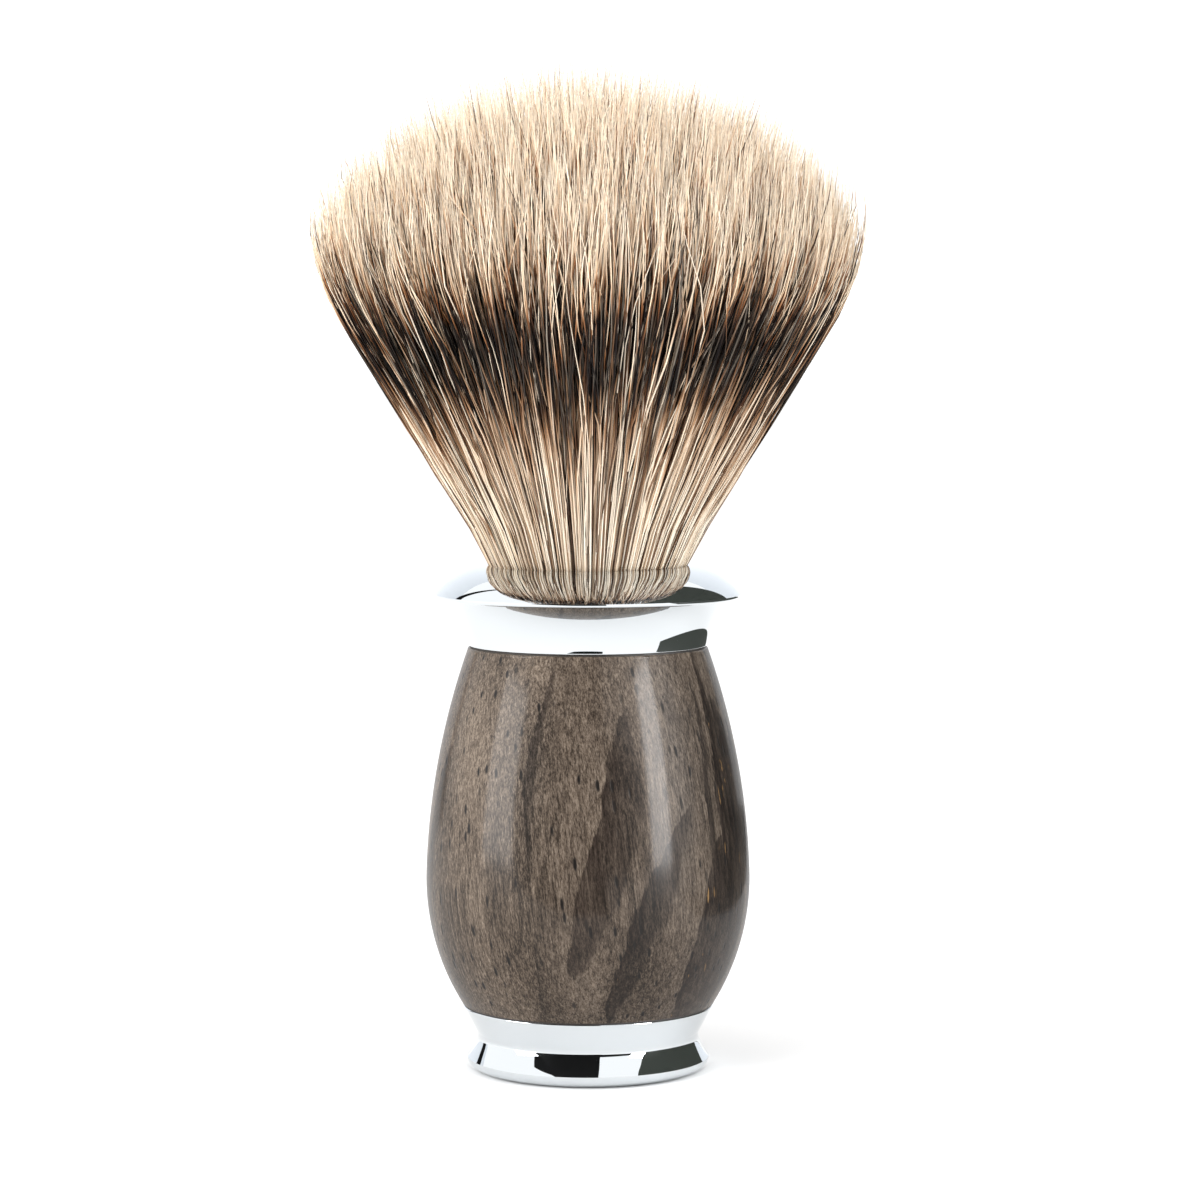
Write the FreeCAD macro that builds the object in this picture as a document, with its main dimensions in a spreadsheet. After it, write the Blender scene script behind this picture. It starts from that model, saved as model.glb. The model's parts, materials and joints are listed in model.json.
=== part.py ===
"""Shaving brush: turned wooden barrel, chromed collar and foot, and a hair knot that screws into the collar.

The origin is the centre of the ring that the foot stands on. +Z is the axis, towards the hair tips.
A stud pulls collar and foot onto the barrel. The knot is a threaded cup with the potted hair bundle in it.
Every turned piece is a half outline revolved about its own Z axis, and its Placement lifts it to its seat.
"""

import FreeCAD, Part
import math
import os

import Sketcher

# name, value in millimetres, meaning
DIMENSIONS = [
    ("foot_radius", 13.12, "foot, widest point of the rolled lip"),
    ("foot_lip", 1.62, "foot, radius of the rolled lip that meets the ground"),
    ("foot_lip_top", 1.5, "foot, height where the lip turns into the cone above it"),
    ("foot_lip_end", 13.12, "foot, radius of that point"),
    ("foot_cone_radius", 12.0, "foot, radius where that cone turns into the waist"),
    ("foot_cone_height", 3.35, "foot, height of that point"),
    ("foot_waist_curve", 1.2, "foot, radius of the hollow waist's section"),
    ("foot_flare_radius", 12.0, "foot, radius where the waist turns into the straight flare above it"),
    ("foot_flare_height", 4.05, "foot, height of that point"),
    ("foot_top_radius", 13.62, "foot, radius of the face under the barrel"),
    ("foot_height", 7.05, "foot, ground to the face under the barrel"),
    ("foot_spigot_radius", 7.5, "foot, spigot inside the barrel"),
    ("foot_spigot_height", 5.8, "foot, length of that spigot"),
    ("pad_recess_radius", 9.6, "foot, recess for the base pad"),
    ("pad_recess_depth", 1.2, "foot, depth of that recess"),
    ("nut_recess_radius", 6.0, "foot, recess for the nut and its washers"),
    ("nut_recess_roof", 7.0, "foot, height of that recess's roof"),
    ("pad_radius", 9.4, "base pad"),
    ("pad_thickness", 0.8, "base pad"),
    ("gasket_thickness", 0.15, "both gaskets"),
    ("gasket_inset", 0.2, "how far a gasket's edge sits inside the barrel's end"),
    ("barrel_height", 38.65, "barrel"),
    ("barrel_base_radius", 13.7, "barrel, just above its rounded lower edge"),
    ("barrel_edge", 0.12, "barrel, rounding of the lower edge"),
    ("barrel_belly_radius", 17.52, "barrel, widest point"),
    ("barrel_belly_height", 14.1, "barrel, height of the widest point above its lower face"),
    ("barrel_lower_curve", 25.7, "barrel, section radius below the belly"),
    ("barrel_upper_curve", 80.4, "barrel, section radius above the belly"),
    ("barrel_top_radius", 12.9, "barrel, radius of its upper face"),
    ("barrel_foot_bore", 7.55, "barrel, bore for the foot's spigot"),
    ("barrel_foot_bore_depth", 5.9, "barrel, depth of that bore"),
    ("barrel_rod_bore", 2.9, "barrel, clearance hole for the stud"),
    ("barrel_collar_bore", 9.25, "barrel, bore for the collar's spigot"),
    ("barrel_collar_bore_depth", 17.75, "barrel, depth of that bore"),
    ("collar_seat_radius", 12.8, "collar, face on the barrel"),
    ("collar_cove_curve", 8.8, "collar, section radius of the cove"),
    ("collar_cove_end", 15.98, "collar, radius where the cove meets the rim"),
    ("collar_cove_height", 5.15, "collar, height of that point above the seat"),
    ("collar_radius", 16.5, "collar, rim"),
    ("collar_rim_curve", 0.45, "collar, rounding under the rim"),
    ("collar_rim_height", 5.6, "collar, height of the rim above the seat"),
    ("collar_dome_curve", 8.5, "collar, section radius of the dome"),
    ("collar_height", 8.7, "collar, seat to the crown of the dome"),
    ("collar_lip", 0.5, "collar, rounding into the socket"),
    ("socket_radius", 10.5, "collar, socket for the knot"),
    ("socket_floor", 1.6, "collar, height of the socket's floor above the seat"),
    ("insert_radius", 8.0, "threaded insert, outside"),
    ("insert_bore", 7.05, "threaded insert, bore"),
    ("insert_height", 11.9, "threaded insert"),
    ("insert_inset", 0.2, "threaded insert, how far it sits below the socket's floor"),
    ("collar_spigot_radius", 9.2, "collar, spigot inside the barrel"),
    ("collar_spigot_depth", 14.5, "collar, length of that spigot"),
    ("rod_radius", 2.5, "stud, and the tapped hole in the collar"),
    ("rod_clearance", 0.25, "hole in foot and washers, over the stud"),
    ("rod_bottom", 1.6, "stud, height of its lower end"),
    ("rod_chamfer", 0.4, "stud, chamfer at both ends"),
    ("rod_top_gap", 0.3, "stud, gap above its upper end"),
    ("nut_flats", 8.0, "both nuts, across the flats"),
    ("nut_height", 2.7, "both nuts"),
    ("washer_radius", 5.0, "flat washer"),
    ("washer_thickness", 1.0, "flat washer"),
    ("spring_washer_radius", 4.6, "spring washer"),
    ("spring_washer_thickness", 1.2, "spring washer"),
    ("spring_washer_gap", 0.8, "spring washer, its slit"),
    ("pin_radius", 0.75, "both dowel pins"),
    ("pin_clearance", 0.05, "hole in wood and gaskets, over a pin"),
    ("collar_pin_offset", 11.0, "collar pin, distance from the axis"),
    ("collar_pin_rise", 0.95, "collar pin, length in the collar"),
    ("collar_pin_drop", 2.9, "collar pin, length in the barrel"),
    ("foot_pin_offset", 10.2, "foot pin, distance from the axis"),
    ("foot_pin_rise", 2.9, "foot pin, length in the barrel"),
    ("foot_pin_drop", 1.65, "foot pin, length in the foot"),
    ("seal_section", 0.48, "O-ring, radius of its section"),
    ("seal_radius", 9.62, "O-ring, radius to the middle of its section"),
    ("seal_seat_gap", 0.04, "running gap under and over the O-ring"),
    ("cup_radius", 10.38, "knot cup, outside"),
    ("cup_cavity_radius", 9.95, "knot cup, inside"),
    ("cup_floor", 1.0, "knot cup, thickness of its floor"),
    ("cup_height", 5.3, "knot cup, shoulder to rim"),
    ("cup_boss_radius", 9.05, "knot cup, boss inside the O-ring"),
    ("cup_boss_drop", 0.95, "knot cup, depth of that boss"),
    ("shank_radius", 7.0, "knot cup, threaded shank"),
    ("shank_drop", 9.9, "knot cup, shank end below the shoulder"),
    ("shank_chamfer", 0.6, "knot cup, chamfer at the shank's end"),
    ("shank_hollow", 4.5, "knot cup, hollow inside the shank"),
    ("shank_hollow_roof", 2.0, "knot cup, hollow's roof below the shoulder"),
    ("root_radius", 8.9, "hair bundle inside its binding"),
    ("binding_turn", 0.4, "binding cord, height of one turn"),
    ("binding_radius", 9.3, "binding cord, outside"),
    ("resin_floor", 0.75, "resin under the roots"),
    ("resin_height", 2.55, "resin around the roots, from the cup's floor"),
    ("fan_neck_radius", 10.05, "hair where it leaves the cup"),
    ("fan_neck_rise", 0.3, "height of that point above the cup's rim"),
    ("fan_flare_radius", 10.55, "hair just above the collar's crown"),
    ("fan_flare_height", 55.6, "height of that point above the ground"),
    ("fan_side_radius", 12.9, "hair where its straight side starts"),
    ("fan_side_height", 58.3, "height of that point above the ground"),
    ("fan_shoulder_radius", 28.6, "hair where its straight side ends"),
    ("fan_shoulder_height", 83.2, "height of that point above the ground"),
    ("fan_shoulder_curve", 9.1, "section radius of the hair's shoulder"),
    ("fan_cap_radius", 28.4, "hair where the shoulder meets the cap"),
    ("fan_cap_height", 93.5, "height of that point above the ground"),
    ("total_height", 109.0, "ground to the highest hair tip"),
]

BINDING_TURNS = 4

# heights above the ground, from the driving dimensions
BARREL_BASE = "(dims.foot_height + dims.gasket_thickness)"
BARREL_TOP = f"({BARREL_BASE} + dims.barrel_height)"
COLLAR_SEAT = f"({BARREL_TOP} + dims.gasket_thickness)"
SOCKET_FLOOR = f"({COLLAR_SEAT} + dims.socket_floor)"
SEAL_CENTRE = f"({SOCKET_FLOOR} + dims.seal_seat_gap + dims.seal_section)"
CUP_SHOULDER = f"({SEAL_CENTRE} + dims.seal_section + dims.seal_seat_gap)"
CUP_FLOOR = f"({CUP_SHOULDER} + dims.cup_floor)"
ROOT_BASE = f"({CUP_FLOOR} + dims.resin_floor)"

doc = FreeCAD.newDocument("shaving_brush")
sheet = doc.addObject("Spreadsheet::Sheet", "dims")
for row, (alias, number, meaning) in enumerate(DIMENSIONS, start=2):
    sheet.set(f"A{row}", alias)
    sheet.set(f"B{row}", str(number))
    sheet.setAlias(f"B{row}", alias)
    sheet.set(f"C{row}", meaning)
doc.recompute()

sub_parts = []


def size(expression):
    """The expression's value now, as a plain number."""
    return float(sheet.evalExpression(expression))


def keep(piece, label):
    """Registers a finished sub-part under the name of its file."""
    piece.Label = label
    sub_parts.append(piece)
    return piece


def lift(piece, height):
    """Binds the piece's height above the ground."""
    piece.setExpression("Placement.Base.z", height)


# ---------------------------------------------------------------- sketches


def origin_plane(body, role):
    return next(f for f in body.Origin.OriginFeatures if f.Role == role)


def new_sketch(body, name, role):
    sketch = body.newObject("Sketcher::SketchObject", name)
    sketch.AttachmentSupport = [(origin_plane(body, role), "")]
    sketch.MapMode = "FlatFace"
    return sketch


def bound(sketch, name, kind, expression, *where):
    """A sketch dimension that follows an expression."""
    index = sketch.addConstraint(Sketcher.Constraint(kind, *where, size(expression)))
    sketch.renameConstraint(index, name)
    sketch.setExpression(f"Constraints.{name}", expression)


def bulged(start, end, radius, side):
    """The arc of under half a turn from start to end; side +1 bulges to its left, -1 to its right."""
    way = end - start
    left = FreeCAD.Vector(-way.y, way.x, 0).normalize()
    rise = radius - math.sqrt(radius**2 - way.Length**2 / 4)
    return Part.Arc(start, start + way / 2 + left * (side * rise), end)


def outline(sketch, steps):
    """Draws a closed outline in a sketch whose axes are radius and height.

    Each step is (radius, height) for a straight edge to that point, or (radius, height, curve, side) for
    an arc of radius curve to it. All are expressions. The first step is the start point.
    """
    points = [FreeCAD.Vector(size(step[0]), size(step[1]), 0) for step in steps]
    edges = []
    for number, step in enumerate(steps):
        start = points[number - 1]
        end = points[number]
        if len(step) == 4:
            edges.append(sketch.addGeometry(bulged(start, end, size(step[2]), step[3])))
        else:
            edges.append(sketch.addGeometry(Part.LineSegment(start, end)))

    def end_of(edge, point):
        """Which end of the edge, 1 or 2, lies on the point; an arc's ends can be stored in either order."""
        return min((1, 2), key=lambda end: (sketch.getPoint(edge, end) - point).Length)

    for number, step in enumerate(steps):
        here = (edges[number], end_of(edges[number], points[number]))
        after = edges[(number + 1) % len(edges)]
        sketch.addConstraint(Sketcher.Constraint("Coincident", *here, after, end_of(after, points[number])))
        if points[number].x:
            bound(sketch, f"radius_{number}", "DistanceX", step[0], -1, 1, *here)
        else:
            sketch.addConstraint(Sketcher.Constraint("PointOnObject", *here, -2))
        if points[number].y:
            bound(sketch, f"height_{number}", "DistanceY", step[1], -1, 1, *here)
        else:
            sketch.addConstraint(Sketcher.Constraint("PointOnObject", *here, -1))
        if len(step) == 4:
            bound(sketch, f"curve_{number}", "Radius", step[2], edges[number])


def turned(label, steps, height="0 mm"):
    """A sub-part turned about its axis from a half outline."""
    body = doc.addObject("PartDesign::Body", f"{label}_body")
    sketch = new_sketch(body, f"{label}_outline", "XZ_Plane")
    outline(sketch, steps)
    turning = body.newObject("PartDesign::Revolution", f"{label}_turning")
    turning.Profile = sketch
    turning.ReferenceAxis = (sketch, ["V_Axis"])
    turning.Angle = 360
    lift(body, height)
    doc.recompute()
    return keep(body, label)


def circle(sketch, name, radius, offset="0 mm"):
    """A circle of bound radius, centred on the origin or at a bound distance along the sketch's X axis."""
    centre = FreeCAD.Vector(size(offset), 0, 0)
    edge = sketch.addGeometry(Part.Circle(centre, FreeCAD.Vector(0, 0, 1), size(radius)))
    bound(sketch, f"{name}_radius", "Radius", radius, edge)
    if centre.x:
        sketch.addConstraint(Sketcher.Constraint("PointOnObject", edge, 3, -1))
        bound(sketch, f"{name}_offset", "DistanceX", offset, -1, 1, edge, 3)
    else:
        sketch.addConstraint(Sketcher.Constraint("Coincident", edge, 3, -1, 1))


def drilled(body, name, radius, offset, start, depth, upwards):
    """Drills a blind hole, parallel to the axis, that starts at a height in the body's own frame."""
    before = body.Shape.Volume
    sketch = new_sketch(body, f"{name}_sketch", "XY_Plane")
    sketch.setExpression("AttachmentOffset.Base.z", start)
    circle(sketch, name, radius, offset)
    hole = body.newObject("PartDesign::Pocket", name)
    hole.Profile = sketch
    hole.setExpression("Length", depth)
    hole.Reversed = upwards
    doc.recompute()
    removed = before - body.Shape.Volume
    expected = math.pi * size(radius) ** 2 * size(depth)
    if not math.isclose(removed, expected, rel_tol=0.02):
        raise ValueError(f"{name} removed {removed:.3f} mm3, not {expected:.3f}")


def ring(label, inner, outer, thickness, height):
    """A flat ring, padded upwards from its seat."""
    body = doc.addObject("PartDesign::Body", f"{label}_body")
    sketch = new_sketch(body, f"{label}_sketch", "XY_Plane")
    circle(sketch, "outside", outer)
    circle(sketch, "inside", inner)
    pad = body.newObject("PartDesign::Pad", f"{label}_pad")
    pad.Profile = sketch
    pad.setExpression("Length", thickness)
    lift(body, height)
    doc.recompute()
    return keep(body, label)


# ---------------------------------------------------------------- handle


def make_foot():
    foot = turned(
        "foot",
        [
            ("dims.rod_radius + dims.rod_clearance", "dims.nut_recess_roof"),
            ("dims.nut_recess_radius", "dims.nut_recess_roof"),
            ("dims.nut_recess_radius", "dims.pad_recess_depth"),
            ("dims.pad_recess_radius", "dims.pad_recess_depth"),
            ("dims.pad_recess_radius", "0 mm"),
            ("dims.foot_radius - dims.foot_lip", "0 mm"),
            ("dims.foot_lip_end", "dims.foot_lip_top", "dims.foot_lip", -1),
            ("dims.foot_cone_radius", "dims.foot_cone_height"),
            (
                "dims.foot_flare_radius",
                "dims.foot_flare_height",
                "dims.foot_waist_curve",
                1,
            ),
            ("dims.foot_top_radius", "dims.foot_height"),
            ("dims.foot_spigot_radius", "dims.foot_height"),
            ("dims.foot_spigot_radius", "dims.foot_height + dims.foot_spigot_height"),
            (
                "dims.rod_radius + dims.rod_clearance",
                "dims.foot_height + dims.foot_spigot_height",
            ),
        ],
    )
    drilled(
        foot,
        "foot_pin_hole",
        "dims.pin_radius",
        "dims.foot_pin_offset",
        "dims.foot_height",
        "dims.foot_pin_drop",
        upwards=False,
    )


def make_lower_gasket():
    gasket = ring(
        "lower_gasket",
        "dims.barrel_foot_bore",
        "dims.barrel_base_radius - dims.gasket_inset",
        "dims.gasket_thickness",
        "dims.foot_height",
    )
    drilled(
        gasket,
        "lower_gasket_pin_hole",
        "dims.pin_radius + dims.pin_clearance",
        "dims.foot_pin_offset",
        "dims.gasket_thickness",
        "dims.gasket_thickness",
        upwards=False,
    )


def make_wood_barrel():
    barrel = turned(
        "wood_barrel",
        [
            ("dims.barrel_foot_bore", "0 mm"),
            ("dims.barrel_base_radius - dims.barrel_edge", "0 mm"),
            ("dims.barrel_base_radius", "dims.barrel_edge", "dims.barrel_edge", -1),
            ("dims.barrel_belly_radius", "dims.barrel_belly_height", "dims.barrel_lower_curve", -1),
            ("dims.barrel_top_radius", "dims.barrel_height", "dims.barrel_upper_curve", -1),
            ("dims.barrel_collar_bore", "dims.barrel_height"),
            ("dims.barrel_collar_bore", "dims.barrel_height - dims.barrel_collar_bore_depth"),
            ("dims.barrel_rod_bore", "dims.barrel_height - dims.barrel_collar_bore_depth"),
            ("dims.barrel_rod_bore", "dims.barrel_foot_bore_depth"),
            ("dims.barrel_foot_bore", "dims.barrel_foot_bore_depth"),
        ],
        BARREL_BASE,
    )
    drilled(
        barrel,
        "barrel_collar_pin_hole",
        "dims.pin_radius + dims.pin_clearance",
        "dims.collar_pin_offset",
        "dims.barrel_height",
        "dims.collar_pin_drop",
        upwards=False,
    )
    drilled(
        barrel,
        "barrel_foot_pin_hole",
        "dims.pin_radius + dims.pin_clearance",
        "dims.foot_pin_offset",
        "0 mm",
        "dims.foot_pin_rise",
        upwards=True,
    )


def make_upper_gasket():
    gasket = ring(
        "upper_gasket",
        "dims.barrel_collar_bore",
        "dims.barrel_top_radius - dims.gasket_inset",
        "dims.gasket_thickness",
        BARREL_TOP,
    )
    drilled(
        gasket,
        "upper_gasket_pin_hole",
        "dims.pin_radius + dims.pin_clearance",
        "dims.collar_pin_offset",
        "dims.gasket_thickness",
        "dims.gasket_thickness",
        upwards=False,
    )


def make_collar():
    insert_seat = "dims.socket_floor - dims.insert_inset - dims.insert_height"
    collar = turned(
        "collar",
        [
            ("dims.collar_spigot_radius", "0 mm"),
            ("dims.collar_seat_radius", "0 mm"),
            ("dims.collar_cove_end", "dims.collar_cove_height", "dims.collar_cove_curve", 1),
            ("dims.collar_radius", "dims.collar_rim_height", "dims.collar_rim_curve", -1),
            (
                "dims.socket_radius + dims.collar_lip",
                "dims.collar_height",
                "dims.collar_dome_curve",
                -1,
            ),
            (
                "dims.socket_radius",
                "dims.collar_height - dims.collar_lip",
                "dims.collar_lip",
                -1,
            ),
            ("dims.socket_radius", "dims.socket_floor"),
            ("dims.insert_radius", "dims.socket_floor"),
            ("dims.insert_radius", insert_seat),
            ("dims.rod_radius", insert_seat),
            ("dims.rod_radius", "-dims.collar_spigot_depth"),
            ("dims.collar_spigot_radius", "-dims.collar_spigot_depth"),
        ],
        COLLAR_SEAT,
    )
    drilled(
        collar,
        "collar_pin_hole",
        "dims.pin_radius",
        "dims.collar_pin_offset",
        "0 mm",
        "dims.collar_pin_rise",
        upwards=True,
    )


def make_thread_insert():
    ring(
        "thread_insert",
        "dims.insert_bore",
        "dims.insert_radius",
        "dims.insert_height",
        f"{SOCKET_FLOOR} - dims.insert_inset - dims.insert_height",
    )


def make_tie_rod():
    top = f"({SOCKET_FLOOR} - dims.insert_inset - dims.insert_height - dims.rod_top_gap)"
    length = f"({top} - dims.rod_bottom)"
    turned(
        "tie_rod",
        [
            ("0 mm", "0 mm"),
            ("dims.rod_radius - dims.rod_chamfer", "0 mm"),
            ("dims.rod_radius", "dims.rod_chamfer"),
            ("dims.rod_radius", f"{length} - dims.rod_chamfer"),
            ("dims.rod_radius - dims.rod_chamfer", length),
            ("0 mm", length),
        ],
        "dims.rod_bottom",
    )


def cylinder(name, radius, length):
    shape = doc.addObject("Part::Cylinder", name)
    shape.setExpression("Radius", radius)
    shape.setExpression("Height", length)
    return shape


def cut(base, tool, name):
    result = doc.addObject("Part::Cut", name)
    result.Base = base
    result.Tool = tool
    return result


def make_nut(label, height):
    blank = doc.addObject("Part::Prism", f"{label}_blank")
    blank.Polygon = 6
    blank.setExpression("Circumradius", "dims.nut_flats / 2 / cos(30 deg)")
    blank.setExpression("Height", "dims.nut_height")
    nut = cut(blank, cylinder(f"{label}_bore", "dims.rod_radius", "dims.nut_height"), f"{label}_cut")
    lift(nut, height)
    keep(nut, label)


def make_washers():
    ring(
        "flat_washer",
        "dims.rod_radius + dims.rod_clearance",
        "dims.washer_radius",
        "dims.washer_thickness",
        "dims.nut_recess_roof - dims.washer_thickness",
    )
    bore_radius = "dims.rod_radius + dims.rod_clearance"
    blank = cut(
        cylinder("spring_washer_blank", "dims.spring_washer_radius", "dims.spring_washer_thickness"),
        cylinder("spring_washer_bore", bore_radius, "dims.spring_washer_thickness"),
        "spring_washer_ring",
    )
    slit = doc.addObject("Part::Box", "spring_washer_slit")
    slit.setExpression("Length", "dims.spring_washer_radius")
    slit.setExpression("Width", "dims.spring_washer_gap")
    slit.setExpression("Height", "dims.spring_washer_thickness")
    slit.setExpression("Placement.Base.y", "-dims.spring_washer_gap / 2")
    washer = cut(blank, slit, "spring_washer_cut")
    lift(washer, "dims.nut_recess_roof - dims.washer_thickness - dims.spring_washer_thickness")
    keep(washer, "spring_washer")


def make_pin(label, offset, length, height):
    pin = cylinder(f"{label}_cylinder", "dims.pin_radius", length)
    pin.setExpression("Placement.Base.x", offset)
    lift(pin, height)
    keep(pin, label)


def make_base_pad():
    pad = cylinder("base_pad_disc", "dims.pad_radius", "dims.pad_thickness")
    lift(pad, "dims.pad_recess_depth - dims.pad_thickness")
    keep(pad, "base_pad")


# ---------------------------------------------------------------- knot


def make_head_seal():
    seal = doc.addObject("Part::Torus", "head_seal_torus")
    seal.setExpression("Radius1", "dims.seal_radius")
    seal.setExpression("Radius2", "dims.seal_section")
    lift(seal, SEAL_CENTRE)
    keep(seal, "head_seal")


def make_knot_cup():
    turned(
        "knot_cup",
        [
            ("0 mm", "dims.cup_floor"),
            ("0 mm", "-dims.shank_hollow_roof"),
            ("dims.shank_hollow", "-dims.shank_hollow_roof"),
            ("dims.shank_hollow", "-dims.shank_drop"),
            ("dims.shank_radius - dims.shank_chamfer", "-dims.shank_drop"),
            ("dims.shank_radius", "-dims.shank_drop + dims.shank_chamfer"),
            ("dims.shank_radius", "-dims.cup_boss_drop"),
            ("dims.cup_boss_radius", "-dims.cup_boss_drop"),
            ("dims.cup_boss_radius", "0 mm"),
            ("dims.cup_radius", "0 mm"),
            ("dims.cup_radius", "dims.cup_height"),
            ("dims.cup_cavity_radius", "dims.cup_height"),
            ("dims.cup_cavity_radius", "dims.cup_floor"),
        ],
        CUP_SHOULDER,
    )


def make_resin_plug():
    turned(
        "resin_plug",
        [
            ("0 mm", "0 mm"),
            ("dims.cup_cavity_radius", "0 mm"),
            ("dims.cup_cavity_radius", "dims.resin_height"),
            ("dims.binding_radius", "dims.resin_height"),
            ("dims.binding_radius", "dims.resin_floor"),
            ("0 mm", "dims.resin_floor"),
        ],
        CUP_FLOOR,
    )


def make_binding_cord():
    """Turns of cord side by side round the roots, each with a rounded outside."""
    groove = "dims.binding_radius - 0.3 * dims.binding_turn"
    rounding = "0.6 * dims.binding_turn"
    steps = [("dims.root_radius", "0 mm"), (groove, "0 mm")]
    for turn in range(1, BINDING_TURNS + 1):
        steps.append((groove, f"{turn} * dims.binding_turn", rounding, -1))
    steps.append(("dims.root_radius", f"{BINDING_TURNS} * dims.binding_turn"))
    turned("binding_cord", steps, ROOT_BASE)


def make_hair_fan():
    """The whole bundle as one closed solid: roots in the resin, neck in the cup, and the fan to its tips.

    The cap of hair tips is part of a sphere centred on the axis.
    """
    cap_rise = "(dims.total_height - dims.fan_cap_height)"
    cap_curve = f"(dims.fan_cap_radius ^ 2 + {cap_rise} ^ 2) / (2 * {cap_rise})"
    neck_base = f"({CUP_FLOOR} + dims.resin_height - {ROOT_BASE})"
    neck_top = f"({CUP_SHOULDER} + dims.cup_height + dims.fan_neck_rise - {ROOT_BASE})"
    turned(
        "hair_fan",
        [
            ("0 mm", "0 mm"),
            ("dims.root_radius", "0 mm"),
            ("dims.root_radius", neck_base),
            ("dims.cup_cavity_radius", neck_base),
            ("dims.cup_cavity_radius", f"{neck_top} - dims.fan_neck_rise"),
            ("dims.fan_neck_radius", neck_top),
            ("dims.fan_flare_radius", f"dims.fan_flare_height - {ROOT_BASE}"),
            ("dims.fan_side_radius", f"dims.fan_side_height - {ROOT_BASE}"),
            ("dims.fan_shoulder_radius", f"dims.fan_shoulder_height - {ROOT_BASE}"),
            (
                "dims.fan_cap_radius",
                f"dims.fan_cap_height - {ROOT_BASE}",
                "dims.fan_shoulder_curve",
                -1,
            ),
            ("0 mm", f"dims.total_height - {ROOT_BASE}", cap_curve, -1),
        ],
        ROOT_BASE,
    )


make_foot()
make_lower_gasket()
make_wood_barrel()
make_upper_gasket()
make_collar()
make_thread_insert()
make_tie_rod()
make_nut("rod_locknut", f"{COLLAR_SEAT} - dims.collar_spigot_depth - dims.nut_height")
make_washers()
make_nut(
    "tie_nut",
    "dims.nut_recess_roof - dims.washer_thickness - dims.spring_washer_thickness - dims.nut_height",
)
make_pin(
    "collar_pin",
    "dims.collar_pin_offset",
    "dims.collar_pin_drop + dims.gasket_thickness + dims.collar_pin_rise",
    f"{BARREL_TOP} - dims.collar_pin_drop",
)
make_pin(
    "foot_pin",
    "dims.foot_pin_offset",
    "dims.foot_pin_drop + dims.gasket_thickness + dims.foot_pin_rise",
    "dims.foot_height - dims.foot_pin_drop",
)
make_base_pad()
make_head_seal()
make_knot_cup()
make_resin_plug()
make_binding_cord()
make_hair_fan()

doc.recompute()

for item in doc.Objects:
    if "Invalid" in item.State or "Error" in item.State:
        raise RuntimeError(f"{item.Label} failed: {item.State}")
for piece in sub_parts:
    if piece.Shape.isNull() or not piece.Shape.isValid():
        raise RuntimeError(f"{piece.Label} has no valid shape")

os.makedirs("parts", exist_ok=True)
for piece in sub_parts:
    piece.Shape.exportStep(f"parts/{piece.Label}.step")
    extent = piece.Shape.BoundBox
    print(f"{piece.Label}: {piece.Shape.Volume:.1f} mm3, z {extent.ZMin:.2f} to {extent.ZMax:.2f}")
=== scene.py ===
"""Looks of the shaving brush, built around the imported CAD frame.

Lengths are in metres. The turned outlines, the hair's shape and names ending in _mm are in millimetres.
"""

import json
import math

import bpy
import numpy as np
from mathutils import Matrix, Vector


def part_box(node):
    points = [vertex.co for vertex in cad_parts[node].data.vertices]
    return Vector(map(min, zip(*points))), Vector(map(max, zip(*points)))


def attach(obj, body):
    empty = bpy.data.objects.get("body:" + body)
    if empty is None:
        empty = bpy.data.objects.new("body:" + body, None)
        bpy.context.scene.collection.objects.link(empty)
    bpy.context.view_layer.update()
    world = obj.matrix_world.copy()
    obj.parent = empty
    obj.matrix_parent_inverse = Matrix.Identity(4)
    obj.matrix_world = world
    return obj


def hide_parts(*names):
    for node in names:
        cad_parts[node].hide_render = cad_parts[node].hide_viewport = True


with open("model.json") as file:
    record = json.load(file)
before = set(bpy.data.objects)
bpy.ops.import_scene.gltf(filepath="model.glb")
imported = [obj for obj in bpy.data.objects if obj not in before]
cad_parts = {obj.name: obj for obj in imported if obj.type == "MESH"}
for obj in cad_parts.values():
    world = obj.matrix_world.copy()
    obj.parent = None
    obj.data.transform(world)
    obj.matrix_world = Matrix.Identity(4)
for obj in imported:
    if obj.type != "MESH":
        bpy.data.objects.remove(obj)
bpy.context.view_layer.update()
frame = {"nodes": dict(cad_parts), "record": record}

MM = 0.001
SEED = 20
scene = bpy.context.scene
collection = scene.collection


def extent_mm(node):
    """Lowest and highest corner of a CAD node, in millimetres."""
    low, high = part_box(node)
    return low / MM, high / MM


# ---------------------------------------------------------------- camera

CAMERA_DISTANCE = 0.403
CAMERA_HEIGHT = 0.0804
CAMERA_SIDE = 0.0013
CAMERA_PITCH = math.radians(4.19)
CAMERA_LENS = 112.35


def make_camera():
    data = bpy.data.cameras.new("camera")
    data.lens = CAMERA_LENS
    data.sensor_width = 36
    data.clip_start = 0.01
    data.clip_end = 50
    camera = bpy.data.objects.new("camera", data)
    camera.location = (CAMERA_SIDE, -CAMERA_DISTANCE, CAMERA_HEIGHT)
    camera.rotation_euler = (math.radians(90) - CAMERA_PITCH, 0, 0)
    collection.objects.link(camera)
    scene.camera = camera


make_camera()


# ---------------------------------------------------------------- node helpers


def feed(tree, socket, value):
    """Joins a socket to an output, or sets it to a constant."""
    if isinstance(value, bpy.types.NodeSocket):
        tree.links.new(value, socket)
    else:
        socket.default_value = value


def maths(tree, operation, *values):
    """The output of a new maths node, fed with up to three outputs or constants."""
    node = tree.nodes.new("ShaderNodeMath")
    node.operation = operation
    for socket, value in zip(node.inputs, values):
        feed(tree, socket, value)
    return node.outputs[0]


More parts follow.
